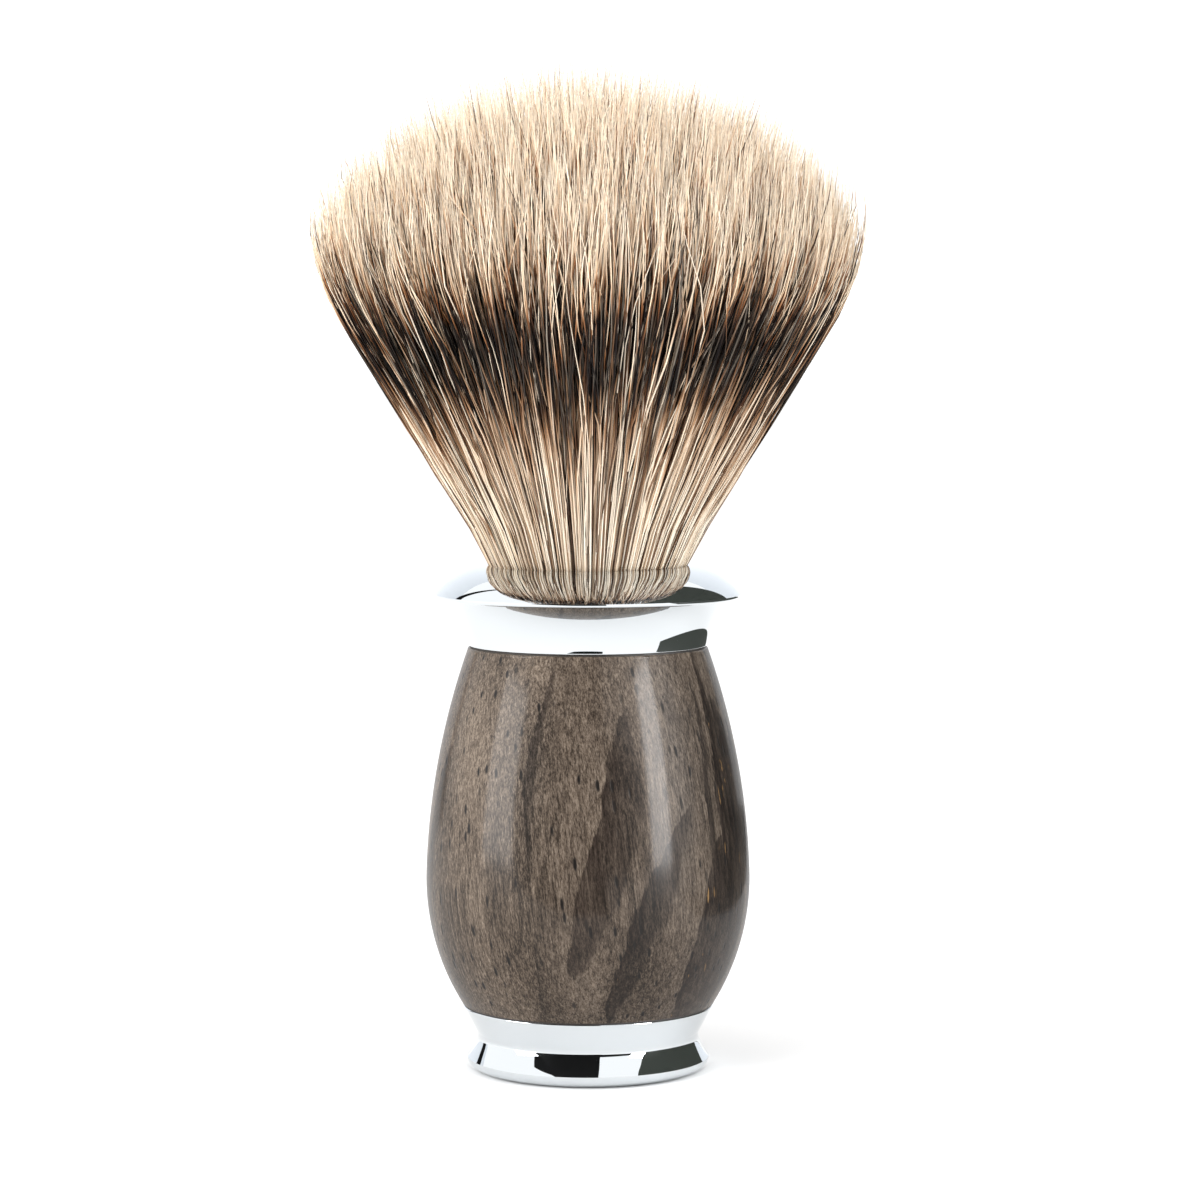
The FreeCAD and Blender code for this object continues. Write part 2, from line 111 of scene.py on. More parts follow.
class Nodes:
    """A material's node tree, with short ways to add and join nodes."""

    def __init__(self, name):
        self.material = bpy.data.materials.new(name)
        self.material.use_nodes = True
        self.tree = self.material.node_tree
        self.shader = self.tree.nodes["Principled BSDF"]

    def add(self, kind, **settings):
        node = self.tree.nodes.new("ShaderNode" + kind)
        for key, value in settings.items():
            setattr(node, key, value)
        return node

    def feed(self, socket, value):
        feed(self.tree, socket, value)

    def math(self, operation, *values):
        return maths(self.tree, operation, *values)

    def span(self, value, low, high, start=0.0, end=1.0):
        """Maps low..high smoothly to start..end."""
        node = self.add("MapRange", interpolation_type="SMOOTHSTEP")
        for socket, number in zip(node.inputs, (value, low, high, start, end)):
            self.feed(socket, number)
        return node.outputs[0]

    def mix(self, share, first, second, blend="MIX"):
        node = self.add("Mix", data_type="RGBA", blend_type=blend)
        self.feed(node.inputs["Factor"], share)
        self.feed(node.inputs["A"], first)
        self.feed(node.inputs["B"], second)
        return node.outputs["Result"]

    def ramp(self, value, stops):
        """A colour ramp; stops are (position, (r, g, b))."""
        node = self.add("ValToRGB")
        elements = node.color_ramp.elements
        while len(elements) < len(stops):
            elements.new(0.5)
        for element, (position, colour) in zip(elements, stops):
            element.position = position
            element.color = (*colour, 1)
        self.feed(node.inputs["Fac"], value)
        return node.outputs["Color"]

    def noise(self, vector, scale, detail=3.0, roughness=0.55):
        node = self.add("TexNoise")
        self.feed(node.inputs["Vector"], vector)
        node.inputs["Scale"].default_value = scale
        node.inputs["Detail"].default_value = detail
        node.inputs["Roughness"].default_value = roughness
        return node.outputs["Fac"]

    def scaled(self, vector, factors):
        """The vector stretched by a factor on each axis; a low one draws a pattern out along that axis."""
        node = self.add("VectorMath", operation="MULTIPLY")
        self.feed(node.inputs[0], vector)
        node.inputs[1].default_value = factors
        return node.outputs[0]

    def place(self):
        """The surface point in the object's own frame, in metres."""
        return self.add("TexCoord").outputs["Object"]

    def parts_of(self, vector):
        node = self.add("SeparateXYZ")
        self.feed(node.inputs[0], vector)
        return node.outputs

    def bump(self, height, strength, distance):
        """Gives the shader a relief, of a depth in metres."""
        node = self.add("Bump")
        node.inputs["Strength"].default_value = strength
        node.inputs["Distance"].default_value = distance
        self.feed(node.inputs["Height"], height)
        self.feed(self.shader.inputs["Normal"], node.outputs["Normal"])

    def set(self, **values):
        """Feeds the shader's sockets; an underscore stands for the space in a socket's name."""
        for key, value in values.items():
            self.feed(self.shader.inputs[key.replace("_", " ")], value)


# ---------------------------------------------------------------- materials


def chrome_material():
    """Polished chrome plate, with the faintest unevenness of buffing."""
    nodes = Nodes("polished_chrome")
    place = nodes.place()
    haze = nodes.noise(nodes.scaled(place, (1, 1, 4)), 160, detail=2)
    nodes.set(Base_Color=(0.665, 0.695, 0.715, 1), Metallic=1.0)
    nodes.set(Roughness=nodes.span(haze, 0.35, 0.75, 0.012, 0.035))
    return nodes.material


# One dark flame in the wood to a row: the angle of its middle line at the foot and at the head, the bow of
# that line, the height of foot and head in millimetres, the half width, and the darkness. Angles are in
# degrees from the front, + to the right.
FLAMES = [
    (-5, 17, 4, 12, 41.0, 10.0, 0.92),
    (11, 43, -4, 6, 31, 8.0, 0.95),
    # from here to the flame at 84 degrees, on the right, the darkness is partly the wood's figure and partly
    # a painted reflection of a dark card
    (50, 62, 2, 2, 28, 18.0, 0.95),
    (52, 50, 2, 20, 45, 4.5, 0.90),
    (61, 59, 2, 15, 48, 6.5, 1.00),
    (71, 67, 1, 18, 42, 9.0, 1.00),
    (84, 78, 1, 16, 39, 9.0, 0.92),
    (16, 30, -3, 3, 23, 2.6, 0.95),
    (25, 34, -2, 7, 25, 2.0, 0.85),
    (-34, -33, 0, 12, 37, 1.1, 0.90),
    (-19, -11, -4, 22, 49, 3.6, 0.82),
    (-21, -16, 1, 4, 21, 2.4, 0.75),
    (30, 40, 3, 34, 49, 3.0, 0.65),
    (96, 118, 6, 8, 38, 8.0, 0.75),
    (134, 142, -5, 2, 30, 6.5, 0.65),
    (158, 181, 4, 16, 46, 5.5, 0.80),
    (196, 214, 8, 6, 33, 8.5, 0.70),
    (236, 244, -4, 12, 44, 5.0, 0.60),
    (268, 292, 5, 7, 36, 7.0, 0.65),
]
# degrees over which a flame sets in and fades out, and by which its edges drift broadly and ripple finely
FLAME_LEFT_EDGE = 1.0
FLAME_RIGHT_EDGE = 4.2
FLAME_DRIFT = 11.0
FLAME_RIPPLE = 3.5
# how bluntly a flame tapers, its depth at the middle line, and the change of depth to its right edge
FLAME_BLUNTNESS = 0.6
FLAME_DEPTH = 0.92
FLAME_DEPTH_CHANGE = -0.10
GRAIN_LEAN = math.radians(7)


def flame_group():
    """Node group: how dark one flame makes a point at an angle and a height."""
    group = bpy.data.node_groups.new("wood_flame", "ShaderNodeTree")
    own = ("Foot Angle", "Head Angle", "Bow", "Foot", "Head", "Half Width", "Darkness")
    for name in ("Angle", "Height", *own):
        group.interface.new_socket(name, in_out="INPUT", socket_type="NodeSocketFloat")
    group.interface.new_socket("Dark", in_out="OUTPUT", socket_type="NodeSocketFloat")
    entry = group.nodes.new("NodeGroupInput").outputs

    def calc(operation, *values):
        return maths(group, operation, *values)

    # the share of the way up the flame, and a curve that is 1 halfway up it and 0 at both ends
    above = calc("SUBTRACT", entry["Height"], entry["Foot"])
    rise = calc("DIVIDE", above, calc("SUBTRACT", entry["Head"], entry["Foot"]))
    inside = calc("MULTIPLY", calc("MULTIPLY", rise, calc("SUBTRACT", 1.0, rise)), 4.0)
    inside = calc("MAXIMUM", inside, 0.0)
    lean = calc("MULTIPLY", calc("SUBTRACT", entry["Head Angle"], entry["Foot Angle"]), rise)
    middle = calc("ADD", calc("ADD", entry["Foot Angle"], lean), calc("MULTIPLY", entry["Bow"], inside))
    # the shorter way round from the flame's middle line to the point, in degrees
    away = calc("WRAP", calc("SUBTRACT", entry["Angle"], middle), 180.0, -180.0)
    width = calc("MULTIPLY", entry["Half Width"], calc("POWER", inside, FLAME_BLUNTNESS))
    # sharp on the left, fading to the right
    left = calc("DIVIDE", calc("ADD", width, away), FLAME_LEFT_EDGE)
    right = calc("DIVIDE", calc("SUBTRACT", width, away), FLAME_RIGHT_EDGE)
    depth = calc("MINIMUM", calc("MAXIMUM", calc("MINIMUM", left, right), 0.0), 1.0)
    # the left flank of a flame is darker than its right
    across = calc("DIVIDE", away, entry["Half Width"])
    flank = calc("MULTIPLY_ADD", across, FLAME_DEPTH_CHANGE, FLAME_DEPTH)
    dark = calc("MULTIPLY", calc("MULTIPLY", depth, flank), entry["Darkness"])
    group.links.new(dark, group.nodes.new("NodeGroupOutput").inputs["Dark"])
    return group


def wood_material():
    """Dark bog wood under satin lacquer: taupe ground, leaning dark flames, fine grain, short pores, with
    painted shade on one side, a painted reflection in the right-hand flames and painted amber glints.
    """
    nodes = Nodes("bog_wood")
    place = nodes.place()
    x, y, z = nodes.parts_of(place)
    wander = nodes.noise(nodes.scaled(place, (1, 1, 0.35)), 260, detail=4, roughness=0.6)
    ripple = nodes.noise(nodes.scaled(place, (1, 1, 0.12)), 2200, detail=3)
    turn = nodes.math("ARCTAN2", x, nodes.math("MULTIPLY", y, -1.0))
    angle = nodes.math("MULTIPLY", turn, math.degrees(1))
    angle = nodes.math("MULTIPLY_ADD", nodes.math("SUBTRACT", wander, 0.5), FLAME_DRIFT, angle)
    angle = nodes.math("MULTIPLY_ADD", nodes.math("SUBTRACT", ripple, 0.5), FLAME_RIPPLE, angle)
    height = nodes.math("DIVIDE", z, MM)
    group = flame_group()
    dark = 0.0
    for flame in FLAMES:
        node = nodes.add("Group")
        node.node_tree = group
        nodes.feed(node.inputs["Angle"], angle)
        nodes.feed(node.inputs["Height"], height)
        for socket, value in zip(list(node.inputs)[2:], flame):
            socket.default_value = value
        dark = nodes.math("MAXIMUM", node.outputs["Dark"], dark)
    streak = nodes.noise(nodes.scaled(place, (1, 1, 0.07)), 1500, detail=3, roughness=0.65)
    dark = nodes.math("MULTIPLY", dark, nodes.span(streak, 0.36, 0.58, 0.82, 1.0))
    # the side with the flames is darker all over than the other: partly the wood's own tone, partly painted
    # shade of the side turned away from the key lamp
    flamed = nodes.math("MULTIPLY", nodes.span(angle, -24, -12), nodes.span(angle, 150, 110))
    tone_and_side_shade = nodes.math("MULTIPLY", flamed, nodes.span(streak, 0.3, 0.7, 0.52, 0.20))
    dark = nodes.math("MAXIMUM", dark, tone_and_side_shade)

    lean = nodes.add("VectorRotate", rotation_type="Y_AXIS")
    nodes.feed(lean.inputs["Vector"], place)
    lean.inputs["Angle"].default_value = GRAIN_LEAN
    along = lean.outputs[0]
    broad = nodes.noise(nodes.scaled(along, (1, 1, 0.16)), 110, detail=3, roughness=0.5)
    grain = nodes.noise(nodes.scaled(along, (1, 1, 0.04)), 4200, detail=4, roughness=0.7)
    speck = nodes.noise(nodes.scaled(along, (1, 1, 0.2)), 9500, detail=2, roughness=0.8)
    tone = nodes.math("MULTIPLY_ADD", nodes.math("SUBTRACT", grain, 0.5), 1.5, broad)
    tone = nodes.math("MULTIPLY_ADD", nodes.math("SUBTRACT", speck, 0.5), 1.4, tone)
    ground = nodes.ramp(
        tone,
        [
            (0.18, (0.018, 0.012, 0.008)),
            (0.40, (0.062, 0.045, 0.032)),
            (0.60, (0.112, 0.084, 0.062)),
            (0.85, (0.205, 0.162, 0.124)),
        ],
    )
    deep = nodes.ramp(tone, [(0.25, (0.0025, 0.0015, 0.001)), (0.85, (0.018, 0.010, 0.007))])
    colour = nodes.mix(dark, ground, deep)

    # pores: short dark dashes along the grain, gathered in loose patches
    cells = nodes.add("TexVoronoi", feature="F1")
    nodes.feed(cells.inputs["Vector"], nodes.scaled(along, (1, 1, 0.26)))
    cells.inputs["Scale"].default_value = 1150
    pore = nodes.span(cells.outputs["Distance"], 0.14, 0.30, 1.0, 0.0)
    patches = nodes.span(nodes.noise(nodes.scaled(place, (1, 1, 0.5)), 120, detail=2), 0.36, 0.48)
    chosen = nodes.span(nodes.parts_of(cells.outputs["Color"])[0], 0.40, 0.50)
    pore = nodes.math("MULTIPLY", nodes.math("MULTIPLY", pore, patches), chosen)
    colour = nodes.mix(pore, colour, (0.008, 0.006, 0.005, 1))

    # painted highlights: amber glints in the darkest flames
    painted_glint = nodes.span(nodes.noise(nodes.scaled(along, (1, 1, 0.16)), 1500, detail=1), 0.66, 0.72)
    painted_glint = nodes.math("MULTIPLY", painted_glint, nodes.span(dark, 0.90, 0.95))
    colour = nodes.mix(nodes.math("MULTIPLY", painted_glint, 0.7), colour, (0.33, 0.19, 0.07, 1))

    nodes.set(Base_Color=colour, Specular_IOR_Level=0.1)
    nodes.set(Coat_Weight=0.34, Coat_Roughness=0.13, Coat_IOR=1.45)
    nodes.set(Roughness=nodes.span(grain, 0.3, 0.7, 0.42, 0.56))
    relief = nodes.math("MULTIPLY_ADD", pore, -0.8, nodes.math("MULTIPLY", grain, 0.4))
    nodes.bump(relief, 0.5, 0.00008)
    return nodes.material


def hair_material():
    """Banded hair: pale tip, dark band, tan base, from fields that every hair's mesh carries."""
    nodes = Nodes("banded_hair")
    to_tip = nodes.add("Attribute", attribute_name="to_tip").outputs["Fac"]
    shade = nodes.add("Attribute", attribute_name="shade").outputs["Fac"]
    banding = nodes.add("Attribute", attribute_name="banding").outputs["Fac"]
    share = nodes.math("DIVIDE", to_tip, HAIR_REACH_MM)
    banded = nodes.ramp(
        share,
        [
            (0.000, (0.880, 0.770, 0.620)),
            (0.060, (0.910, 0.785, 0.620)),
            (0.120, (0.830, 0.620, 0.420)),
            (0.150, (0.360, 0.150, 0.055)),
            (0.185, (0.036, 0.017, 0.011)),
            (0.220, (0.008, 0.005, 0.005)),
            (0.295, (0.009, 0.006, 0.006)),
            (0.330, (0.062, 0.030, 0.016)),
            (0.370, (0.400, 0.220, 0.110)),
            (0.418, (0.850, 0.670, 0.500)),
            (0.600, (0.960, 0.870, 0.730)),
            (0.690, (0.960, 0.870, 0.730)),
            (0.730, (0.820, 0.670, 0.500)),
        ],
    )
    plain = nodes.ramp(
        share,
        [
            (0.00, (0.84, 0.74, 0.61)),
            (0.25, (0.90, 0.78, 0.63)),
            (0.60, (0.94, 0.84, 0.70)),
            (0.69, (0.94, 0.84, 0.70)),
            (0.73, (0.82, 0.67, 0.50)),
        ],
    )
    colour = nodes.mix(banding, plain, banded)
    # a darkness for each hair, from its shade field: partly the hair's own tone, partly painted shade that
    # stands in for the gaps between hairs
    dim = nodes.ramp(
        shade,
        [
            (0.00, (0.04, 0.022, 0.015)),
            (0.18, (0.18, 0.105, 0.065)),
            (0.34, (0.62, 0.51, 0.42)),
            (0.60, (0.95, 0.92, 0.89)),
            (1.00, (1.0, 1.0, 1.0)),
        ],
    )
    # tips differ less from hair to hair than roots do; this darkness is partly the hairs' own tone and
    # partly painted shade between hairs, and it weighs more away from the tips
    spread = nodes.span(share, 0.03, 0.20, 0.36, 1.0)
    colour = nodes.mix(spread, colour, nodes.mix(1.0, colour, dim, blend="MULTIPLY"))
    nodes.set(Base_Color=colour, Roughness=0.45, Specular_IOR_Level=0.2)
    return nodes.material


def mottled_material(name, dark, light, scale, roughness, bump_mm):
    """A material whose colour, gloss and surface vary finely between two tones."""
    nodes = Nodes(name)
    texture = nodes.noise(nodes.place(), scale, detail=4, roughness=0.6)
    nodes.set(Base_Color=nodes.ramp(texture, [(0.3, dark), (0.7, light)]))
    nodes.set(Roughness=nodes.span(texture, 0.3, 0.7, roughness - 0.06, roughness + 0.06))
    nodes.bump(texture, 0.5, bump_mm * MM)
    return nodes.material


def steel_material():
    """Zinc-plated hardware with turning marks round its axis."""
    nodes = Nodes("hardware_steel")
    place = nodes.place()
    marks = nodes.noise(nodes.scaled(place, (0.3, 0.3, 6)), 1800, detail=2)
    tone = nodes.ramp(marks, [(0.3, (0.46, 0.46, 0.45)), (0.7, (0.62, 0.62, 0.6))])
    nodes.set(Base_Color=tone, Metallic=1.0)
    nodes.set(Roughness=nodes.span(marks, 0.3, 0.7, 0.24, 0.4))
    nodes.bump(marks, 0.3, 0.00002)
    return nodes.material


def cord_material():
    """Binding cord: twisted strands that show as slanting ridges."""
    nodes = Nodes("binding_thread")
    x, y, z = nodes.parts_of(nodes.place())
    turn = nodes.math("MULTIPLY", nodes.math("ARCTAN2", y, x), 70.0)
    twist = nodes.math("SINE", nodes.math("MULTIPLY_ADD", z, 9000.0, turn))
    # the colour is darker in the grooves between the strands: painted shade
    tone = nodes.ramp(twist, [(0.0, (0.55, 0.5, 0.4)), (1.0, (0.8, 0.76, 0.66))])
    nodes.set(Base_Color=tone, Roughness=0.8)
    nodes.bump(twist, 0.6, 0.00004)
    return nodes.material


def give(node, material):
    """Puts a material on a CAD node in place of its own."""
    for slot in frame["nodes"][node].material_slots:
        slot.material = material


# by material slot: dark tone, light tone, scale of the pattern, roughness, depth of the bump in millimetres
MOTTLED = {
    "gasket_rubber": ((0.010, 0.007, 0.005), (0.024, 0.017, 0.012), 900, 0.6, 0.01),
    "cup_plastic": ((0.016, 0.016, 0.017), (0.030, 0.030, 0.032), 1400, 0.38, 0.008),
    "insert_plastic": ((0.030, 0.030, 0.032), (0.055, 0.055, 0.058), 1400, 0.45, 0.01),
    "potting_resin": ((0.36, 0.22, 0.08), (0.55, 0.38, 0.16), 500, 0.2, 0.01),
    "pad_rubber": ((0.020, 0.018, 0.016), (0.045, 0.040, 0.036), 2200, 0.75, 0.04),
    "seal_rubber": ((0.012, 0.012, 0.012), (0.020, 0.020, 0.020), 800, 0.4, 0.004),
}


def dress_cad_nodes():
    """Gives every CAD node that stays the material of its slot in the record."""
    made = {slot: mottled_material(slot, *look) for slot, look in MOTTLED.items()}
    made["hardware_steel"] = steel_material()
    made["binding_thread"] = cord_material()
    for part in frame["record"]["subparts"]:
        slot = part["material_slot"]
        if slot in made:
            give(part["node"], made[slot])


# ---------------------------------------------------------------- turned pieces

TURN_STEPS = 256
FEWEST_ARC_STEPS = 10
SHARP_ANGLE = math.radians(14)
# lengths along the outline, in millimetres
ARC_STEP = 0.35
LONG_RUN = 0.6
SUPPORT_GAP = 0.08


def arc_points(start, end, radius, side):
    """Points on the arc of under half a turn from start to end, which bulges to its left for side +1."""
    start = np.array(start, float)
    end = np.array(end, float)
    way = end - start
    half = np.linalg.norm(way) / 2
    left = np.array([-way[1], way[0]]) / (2 * half)
    centre = (start + end) / 2 - left * side * math.sqrt(radius**2 - half**2)
    first = math.atan2(*(start - centre)[::-1])
    sweep = (math.atan2(*(end - centre)[::-1]) - first + math.pi) % (2 * math.pi) - math.pi
    steps = max(FEWEST_ARC_STEPS, math.ceil(abs(sweep) * radius / ARC_STEP))
    turns = first + sweep * np.arange(1, steps + 1) / steps
    return [tuple(centre + radius * np.array([math.cos(t), math.sin(t)])) for t in turns]


def section(steps):
    """Closed half outline from steps (radius, height) or (radius, height, curve, side), in millimetres."""
    points = [steps[0]]
    for step in steps[1:]:
        start = points[-1]
        if len(step) == 4:
            points += arc_points(start, step[:2], step[2], step[3])
            continue
        # a long straight run gets a point near each end, so that its shading stays straight
        run = math.dist(start, step)
        if run > LONG_RUN:
            for share in (SUPPORT_GAP / run, 1 - SUPPORT_GAP / run):
                points.append(tuple(a + (b - a) * share for a, b in zip(start, step)))
        points.append(step)
    return np.array(points)


def lathe(name, points, seat, material, node):
    """Turns a closed half outline about the Z axis, its real corners sharp, in the place of a CAD node."""
    count = len(points)
    turns = np.arange(TURN_STEPS)[:, None] * 2 * math.pi / TURN_STEPS
    radius = points[:, 0]
    height = np.broadcast_to(points[:, 1] + seat, (TURN_STEPS, count))
    ring = np.stack([radius * np.cos(turns), radius * np.sin(turns), height], 2)
    here = np.arange(TURN_STEPS)[:, None] * count + np.arange(count)
    after = np.roll(here, -1, 0)
    faces = np.stack([here, after, np.roll(after, -1, 1), np.roll(here, -1, 1)], 2).reshape(-1, 4)
    mesh = bpy.data.meshes.new(name)
    mesh.from_pydata((ring.reshape(-1, 3) * MM).tolist(), [], faces.tolist())
    into = points - np.roll(points, 1, 0)
    out = np.roll(points, -1, 0) - points
    bend = np.arctan2(into[:, 0] * out[:, 1] - into[:, 1] * out[:, 0], (into * out).sum(1))
    corner = np.abs(bend) > SHARP_ANGLE
    # an edge that runs round the axis joins two copies of one outline point
    ends = np.empty(len(mesh.edges) * 2, np.int32)
    mesh.edges.foreach_get("vertices", ends)
    ends = ends.reshape(-1, 2) % count
    sharp = (ends[:, 0] == ends[:, 1]) & corner[ends[:, 0]]
    mesh.attributes.new("sharp_edge", "BOOLEAN", "EDGE").data.foreach_set("value", sharp)
    mesh.polygons.foreach_set("use_smooth", np.ones(len(mesh.polygons), bool))
    mesh.materials.append(material)
    piece = bpy.data.objects.new(name, mesh)
    collection.objects.link(piece)
    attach(piece, "handle")
    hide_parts(node)


def make_turned_pieces():
    chrome = chrome_material()
    foot_top = extent_mm("lower_gasket")[0].z
    barrel_low, barrel_high = extent_mm("wood_barrel")
    length = barrel_high.z - barrel_low.z
    collar_seat = extent_mm("upper_gasket")[1].z
    foot = section(
        [
            (2.75, 7.0),
            (6.0, 7.0),
            (6.0, 1.2),
            (9.6, 1.2),
            (9.6, 0.15),
            (9.75, 0.0, 0.15, 1),
            (11.2, 0.0),
            (12.7, 0.45, 2.8, -1),
            (13.12, 1.35, 0.95, -1),
            (12.03, 3.3, 9.0, 1),
            (12.02, 4.05, 1.3, 1),
            (13.58, foot_top - 0.10),
            (13.46, foot_top, 0.12, -1),
            (7.5, foot_top),
            (7.5, foot_top + 5.8),
            (2.75, foot_top + 5.8),
        ]
    )
    lathe("chrome_foot", foot, 0, chrome, "foot")
    barrel = section(
        [
            (7.55, 0),
            (13.58, 0),
            (13.7, 0.12, 0.12, -1),
            (17.52, 14.1, 25.7, -1),
            (13.0, length - 0.25, 80.4, -1),
            (12.8, length, 0.25, -1),
            (9.25, length),
            (9.25, length - 17.75),
            (2.9, length - 17.75),
            (2.9, 5.9),
            (7.55, 5.9),
        ]
    )
    lathe("turned_barrel", barrel, barrel_low.z, wood_material(), "wood_barrel")
    collar = section(
        [
            (9.2, 0),
            (12.66, 0),
            (12.87, 0.18, 0.2, -1),
            (15.98, 5.15, 8.8, 1),
            (16.5, 5.6, 0.45, -1),
            (11.0, 8.7, 8.5, -1),
            (10.5, 8.2, 0.5, -1),
            (10.5, 1.6),
            (8.0, 1.6),
            (8.0, -10.5),
            (2.5, -10.5),
            (2.5, -14.5),
            (9.2, -14.5),
        ]
    )
    lathe("chrome_collar", collar, collar_seat, chrome, "collar")


# ---------------------------------------------------------------- hair

HAIRS = 15500
TUFTS = 8
CLUMPS = 700
KINDS = 128
HAIR_SIDES = 3
HAIR_RADIUS_MM = 0.076
HAIR_REACH_MM = 62.0
# where along a hair its rings lie, from root to tip, and how thick it is there
RING_SHARES = np.array([0.0, 0.07, 0.17, 0.30, 0.44, 0.58, 0.70, 0.81, 0.91, 1.0])
RING_WIDTHS = np.array([0.9, 0.95, 1.0, 1.06, 1.1, 1.1, 1.04, 0.92, 0.66, 0.08])

# how far hairs wander and wave, as parts of the root disc's radius, and how straight they start
WANDER = 0.050
STRAY_WANDER = 0.13
STRAY_SHARE = 0.12
WANDER_POWER = 2.2
WAVE = 0.016
STRAY_WAVE = 0.034
WAVES = 1.3
WAVE_FULL_FROM = 0.4
FARTHEST_SHARE = 1.02
# how far hairs are drawn to the middle of their clump, and from where along them
CLUMP_PULL = 0.36
GATHER_FROM = 0.25
# how tips differ in height, in millimetres
TIP_LIFT = 2.2
TIP_SPREAD = 1.6
TIP_SHORTFALL = 2.0
CLUMP_SPREAD = 0.8
# how kinds differ: the shift of the band in millimetres, and the shares whose band comes early or is missing
BAND_SHIFT = 1.5
EARLY_SHARE = 0.24
PLAIN_SHARE = 0.10

# the fan's outline in millimetres: heights above the ground, and distances from the axis
CUP_TOP = extent_mm("knot_cup")[1].z
FAN_TOP = extent_mm("hair_fan")[1].z
ROOT_HEIGHT = CUP_TOP - 1.6
ROOT_RADIUS = 9.4
CUP_RADIUS = 9.6
RIM_HEIGHT = 54.2
RIM_RADIUS = 10.15
CROWN_HEIGHT = 55.1
CROWN_RADIUS = 10.95
NECK_HEIGHT = 58.9
NECK_RADIUS = 12.76
SIDE_SLOPE = 0.605
BEND_HEIGHT = 80.0
BEND = 0.024
CAP_RADIUS = 33.77
SHOULDER_CENTRE = (21.0, 88.2)
SHOULDER_RADIUS = 9.1
SHOULDER_TOP = 93.5
SHOULDER_FOOT = 84
FAR_ABOVE = 200.0
FAR_RADIUS = NECK_RADIUS + SIDE_SLOPE * (FAR_ABOVE - NECK_HEIGHT)


def fan_radius(height, share):
    """How far from the axis a hair is at a height; share is where its root lies, from 0 to 1 at the rim."""
    straight = np.interp(
        height,
        [ROOT_HEIGHT, CUP_TOP, RIM_HEIGHT, CROWN_HEIGHT, NECK_HEIGHT, FAR_ABOVE],
        [ROOT_RADIUS, CUP_RADIUS, RIM_RADIUS, CROWN_RADIUS, NECK_RADIUS, FAR_RADIUS],
    )
    over = np.maximum(height - BEND_HEIGHT, 0)
    return share * straight - BEND * share**3 * over**2


def tip_height(share):
    """Height where that hair reaches the rounded outline of the tips: a wide cap on two round shoulders."""
    heights = np.linspace(70, FAN_TOP, 400)
    over_cap = heights - (FAN_TOP - CAP_RADIUS)
    cap = np.sqrt(np.maximum(CAP_RADIUS**2 - over_cap**2, 0))
    out, middle = SHOULDER_CENTRE
    shoulder = out + np.sqrt(np.maximum(SHOULDER_RADIUS**2 - (heights - middle) ** 2, 0))
    outline = np.where(heights > SHOULDER_TOP, cap, shoulder)
    outline[heights < SHOULDER_FOOT] = np.inf
    inside = fan_radius(heights, share) < outline
    return heights[inside][-1]


def smooth(value):
    """Rises from 0 to 1 without a kink as the value does."""
    value = np.clip(value, 0, 1)
    return value * value * (3 - 2 * value)


def hair_paths(rng):
    """Centre lines of all hairs, in millimetres, as (hair, ring, xyz), and the angle of each hair's root."""
    root = np.sqrt(rng.random(HAIRS))
    turn = rng.random(HAIRS) * 2 * math.pi
    disc = np.stack([root * np.cos(turn), root * np.sin(turn)], 1)

    clump_root = np.sqrt(rng.random(CLUMPS))
    clump_turn = rng.random(CLUMPS) * 2 * math.pi
    clump = np.stack([clump_root * np.cos(clump_turn), clump_root * np.sin(clump_turn)], 1)
    nearest = np.argmin(((disc[:, None] - clump[None]) ** 2).sum(2), 1)
    pull = rng.uniform(0.0, CLUMP_PULL, CLUMPS)[nearest] * rng.uniform(0.2, 1.0, HAIRS)

    shares = np.linspace(0, 1, 65)
    tips = np.interp(root, shares, [tip_height(share) for share in shares])
    short = np.abs(rng.normal(0, TIP_SPREAD, HAIRS)) + rng.exponential(TIP_SHORTFALL, HAIRS)
    clump_short = np.abs(rng.normal(0, CLUMP_SPREAD, CLUMPS))[nearest]
    tips = tips + TIP_LIFT - short - clump_short

    stray = rng.random(HAIRS) < STRAY_SHARE
    wander = rng.normal(0, 1, (HAIRS, 2)) * np.where(stray, STRAY_WANDER, WANDER)[:, None]
    bow = rng.normal(0, 1, (HAIRS, 2)) * np.where(stray, STRAY_WAVE, WAVE)[:, None]
    phase = rng.random(HAIRS) * 2 * math.pi

    along = RING_SHARES[None, :]
    height = ROOT_HEIGHT + along * (tips - ROOT_HEIGHT)[:, None]
    gather = (pull[:, None] * smooth((along - GATHER_FROM) / (1 - GATHER_FROM)))[..., None]
    free = (along**WANDER_POWER)[..., None]
    swing = np.sin(2 * WAVES * math.pi * along + phase[:, None])
    wave = (swing * smooth(along / WAVE_FULL_FROM))[..., None]
    point = disc[:, None] + gather * (clump[nearest] - disc)[:, None]
    point = point + free * wander[:, None] + wave * bow[:, None]
    share = np.linalg.norm(point, axis=2)
    radius = fan_radius(height, np.minimum(share, FARTHEST_SHARE))
    flat = point / np.maximum(share, 1e-6)[..., None] * radius[..., None]
    return np.concatenate([flat, height[..., None]], 2), turn


